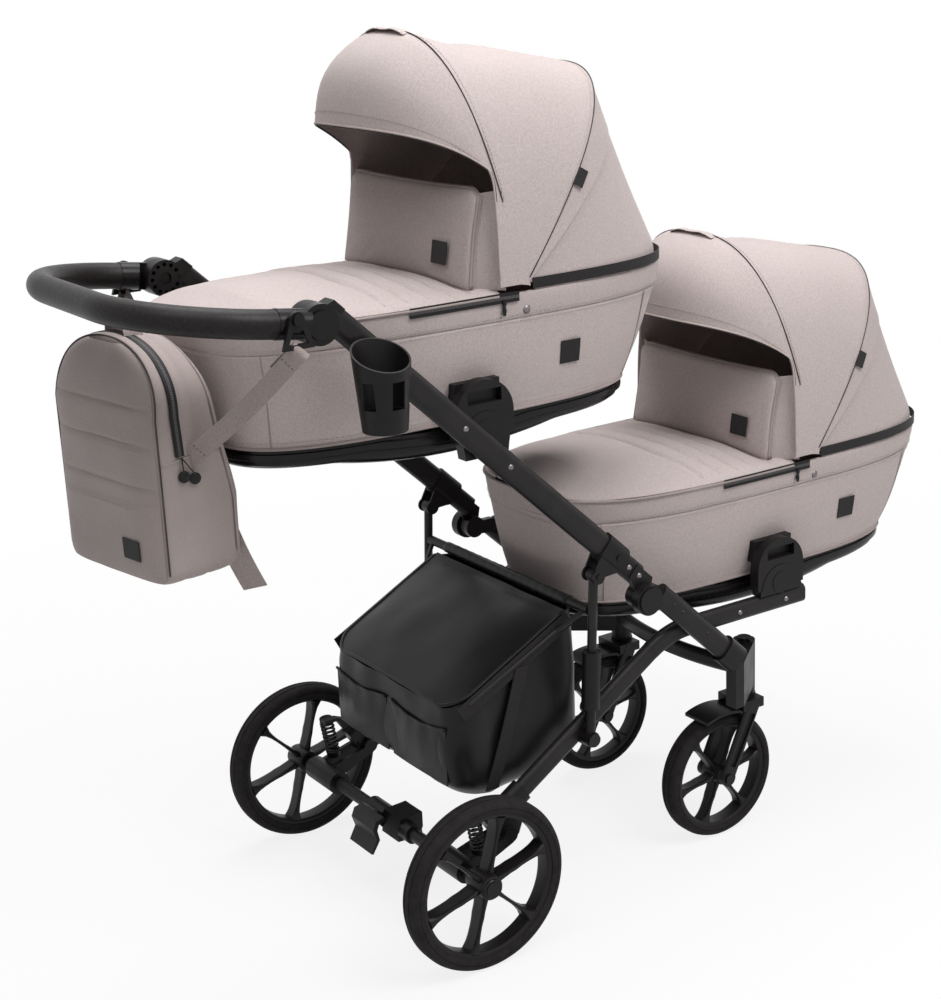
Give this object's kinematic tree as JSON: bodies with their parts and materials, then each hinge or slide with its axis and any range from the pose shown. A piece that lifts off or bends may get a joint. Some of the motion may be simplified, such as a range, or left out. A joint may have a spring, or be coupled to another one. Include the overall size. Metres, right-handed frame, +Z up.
{
  "type": "twin pram",
  "caption": "Folding tandem pram frame with swivel front wheels that carries carrycots one behind the other, with a zipped basket, a cup holder and a hanging bag.",
  "frame": {"origin": "on the floor, under the middle of the whole pram's box", "axes": "+X forward, from the handle to the front wheels; +Y to the pusher's left; +Z up"},
  "size_m": [1.5726, 0.6609, 1.4021],
  "materials": {
    "frame_paint": "matte charcoal powder coat",
    "black_plastic": "fine matte moulding",
    "grip_leather": "grained leatherette",
    "steel_rivet": "satin",
    "spring_steel": "dark satin",
    "tyre_rubber": "matte foam rubber",
    "greige_cloth": "heathered melange weave",
    "bag_cloth": "smooth coated cloth",
    "black_cloth": "matte black nylon"
  },
  "bodies": {
    "base_frame": {"rear_leg_right": "frame_paint", "rear_leg_left": "frame_paint", "leg_mounts": "black_plastic", "axle_brackets": "black_plastic", "leg_rivets": "steel_rivet"},
    "front_legs": {"front_leg_right": "frame_paint", "front_leg_left": "frame_paint", "fold_knobs": "black_plastic", "castor_heads": "black_plastic", "front_cross_bar": "frame_paint"},
    "push_frame": {"push_tube_right": "frame_paint", "push_tube_left": "frame_paint", "hinge_arms": "frame_paint", "strut_brackets": "black_plastic", "push_mounts": "black_plastic", "handle_knuckles": "black_plastic", "cup_holder": "black_plastic", "push_rivets": "steel_rivet"},
    "handlebar": {"handle_grip": "grip_leather", "handle_cuffs": "black_plastic"},
    "button_right": {"handle_button_right": "black_plastic"},
    "button_left": {"handle_button_left": "black_plastic"},
    "bag": {"strap_hooks": "black_plastic", "backpack": "bag_cloth", "backpack_straps": "bag_cloth"},
    "strut_frame": {"strut_rods": "frame_paint", "strut_sleeves": "black_plastic", "basket_rail": "frame_paint", "basket": "black_cloth"},
    "lid": {"basket_lid": "black_cloth"},
    "castor_right": {"castor_fork_right": "black_plastic"},
    "castor_left": {"castor_fork_left": "black_plastic"},
    "front_wheel_right": {"front_rim_right": "black_plastic", "front_tyre_right": "tyre_rubber"},
    "front_wheel_left": {"front_rim_left": "black_plastic", "front_tyre_left": "tyre_rubber"},
    "lock_right": {"swivel_lock_right": "black_plastic"},
    "lock_left": {"swivel_lock_left": "black_plastic"},
    "axle_unit": {"rear_axle": "frame_paint", "swing_arms": "black_plastic", "springs": "spring_steel"},
    "pedal": {"brake_pedal": "black_plastic"},
    "rear_wheel_right": {"rear_rim_right": "black_plastic", "rear_tyre_right": "tyre_rubber"},
    "rear_wheel_left": {"rear_rim_left": "black_plastic", "rear_tyre_left": "tyre_rubber"},
    "rear_cot": {"rear_cot_tray": "black_plastic", "rear_cot_body": "greige_cloth", "rear_cot_apron": "greige_cloth", "rear_cot_flap": "greige_cloth", "rear_cot_grips": "black_plastic", "rear_hood_back": "greige_cloth"},
    "rear_hood": {"rear_hood_front": "greige_cloth"},
    "front_cot": {"front_cot_tray": "black_plastic", "front_cot_body": "greige_cloth", "front_cot_apron": "greige_cloth", "front_cot_flap": "greige_cloth", "front_cot_grips": "black_plastic", "front_hood_back": "greige_cloth"},
    "front_hood": {"front_hood_front": "greige_cloth"}
  },
  "joints": [
    {"name": "leg_fold", "type": "hinge", "parent": "base_frame", "child": "front_legs", "pos_m": [0.1666, 0.01342, 0.41717], "axis": [0, 1, 0], "range_deg": [0, 37]},
    {"name": "fold", "type": "hinge", "parent": "front_legs", "child": "push_frame", "pos_m": [0.03326, 0.01342, 0.512], "axis": [0, -1, 0], "range_deg": [0, 80]},
    {"name": "strut_swing", "type": "hinge", "parent": "base_frame", "child": "strut_frame", "pos_m": [-0.07174, 0.01342, 0.295], "axis": [0, 1, 0], "range_deg": [0, 11.5]},
    {"name": "lid_open", "type": "hinge", "parent": "strut_frame", "child": "lid", "pos_m": [-0.07404, 0.01342, 0.49909], "axis": [0, 1, 0], "range_deg": [0, 38]},
    {"name": "handle_tilt", "type": "hinge", "parent": "push_frame", "child": "handlebar", "pos_m": [-0.52314, 0.01342, 1.04], "axis": [0, 1, 0], "range_deg": [0, 30]},
    {"name": "bag_hang", "type": "hinge", "parent": "handlebar", "child": "bag", "pos_m": [-0.56714, 0.01342, 1.056], "axis": [0, 1, 0], "range_deg": [-30, 0]},
    {"name": "button_right_press", "type": "slide", "parent": "handlebar", "child": "button_right", "axis": [0, 1, 0], "range_m": [0, 0.004], "stiffness_N_per_m": 800},
    {"name": "button_left_press", "type": "slide", "parent": "handlebar", "child": "button_left", "axis": [0, -1, 0], "range_m": [0, 0.004], "stiffness_N_per_m": 800},
    {"name": "rear_cot_lift", "type": "slide", "parent": "push_frame", "child": "rear_cot", "axis": [0, 0, 1], "range_m": [0, 0.3]},
    {"name": "rear_hood_fold", "type": "hinge", "parent": "rear_cot", "child": "rear_hood", "pos_m": [-0.14974, 0.01342, 1.03], "axis": [0, 1, 0], "range_deg": [0, 30]},
    {"name": "front_cot_lift", "type": "slide", "parent": "base_frame", "child": "front_cot", "axis": [0, 0, 1], "range_m": [0, 0.11]},
    {"name": "front_hood_fold", "type": "hinge", "parent": "front_cot", "child": "front_hood", "pos_m": [0.43726, 0.01342, 0.658], "axis": [0, 1, 0], "range_deg": [0, 30]},
    {"name": "castor_right_swivel", "type": "hinge", "parent": "front_legs", "child": "castor_right", "pos_m": [0.31526, -0.15858, 0.3], "axis": [0, 0, 1], "continuous": true},
    {"name": "castor_left_swivel", "type": "hinge", "parent": "front_legs", "child": "castor_left", "pos_m": [0.31526, 0.18542, 0.3], "axis": [0, 0, 1], "continuous": true},
    {"name": "front_wheel_right_spin", "type": "hinge", "parent": "castor_right", "child": "front_wheel_right", "pos_m": [0.25126, -0.15858, 0.113], "axis": [0, 1, 0], "continuous": true},
    {"name": "front_wheel_left_spin", "type": "hinge", "parent": "castor_left", "child": "front_wheel_left", "pos_m": [0.25126, 0.18542, 0.113], "axis": [0, 1, 0], "continuous": true},
    {"name": "lock_right_turn", "type": "hinge", "parent": "front_legs", "child": "lock_right", "pos_m": [0.31526, -0.15858, 0.345], "axis": [0, 0, 1], "range_deg": [0, 60]},
    {"name": "lock_left_turn", "type": "hinge", "parent": "front_legs", "child": "lock_left", "pos_m": [0.31526, 0.18542, 0.345], "axis": [0, 0, -1], "range_deg": [0, 60]},
    {"name": "suspension", "type": "hinge", "parent": "base_frame", "child": "axle_unit", "pos_m": [-0.22874, 0.01342, 0.172], "axis": [0, 1, 0], "range_deg": [0, 5], "stiffness_Nm_per_rad": 80, "springref_deg": -11.46, "deforming": ["springs"]},
    {"name": "brake_press", "type": "hinge", "parent": "axle_unit", "child": "pedal", "pos_m": [-0.31674, 0.01342, 0.14], "axis": [0, -1, 0], "range_deg": [0, 20]},
    {"name": "rear_wheel_right_spin", "type": "hinge", "parent": "axle_unit", "child": "rear_wheel_right", "pos_m": [-0.31674, -0.27458, 0.14], "axis": [0, 1, 0], "continuous": true},
    {"name": "rear_wheel_left_spin", "type": "hinge", "parent": "axle_unit", "child": "rear_wheel_left", "pos_m": [-0.31674, 0.30142, 0.14], "axis": [0, 1, 0], "continuous": true}
  ],
  "couplings": [
    {"joint": "leg_fold", "follows": "fold", "ratio": 0.46},
    {"joint": "strut_swing", "follows": "fold", "ratio": 0.14},
    {"joint": "bag_hang", "follows": "handle_tilt", "ratio": -1}
  ]
}
